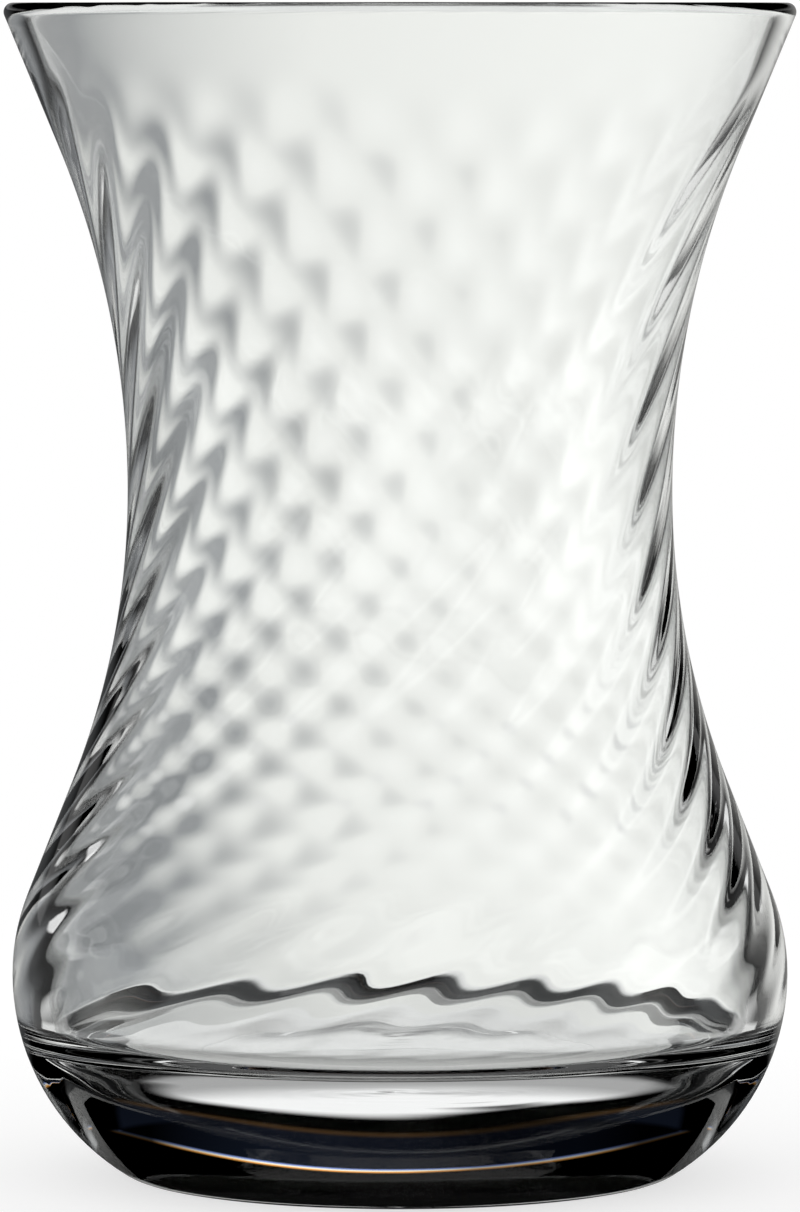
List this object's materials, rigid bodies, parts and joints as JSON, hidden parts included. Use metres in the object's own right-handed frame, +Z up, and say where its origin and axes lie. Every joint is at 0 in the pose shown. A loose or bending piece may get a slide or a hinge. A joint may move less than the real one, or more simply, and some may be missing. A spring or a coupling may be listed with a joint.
{
  "type": "turkish tea glass",
  "caption": "Clear tulip-shaped tea glass with a wide lip, a narrow waist, a rounded heavy base and twisted ribs on the inside.",
  "frame": {"origin": "centre of the foot, on the surface the glass stands on", "axes": "+Z up along the glass's axis; +X and +Y are equal, because the glass is round"},
  "size_m": [0.0578, 0.0578, 0.086],
  "materials": {
    "glass": "clear, fire-polished"
  },
  "bodies": {
    "root": {"glass": "glass"}
  },
  "joints": []
}
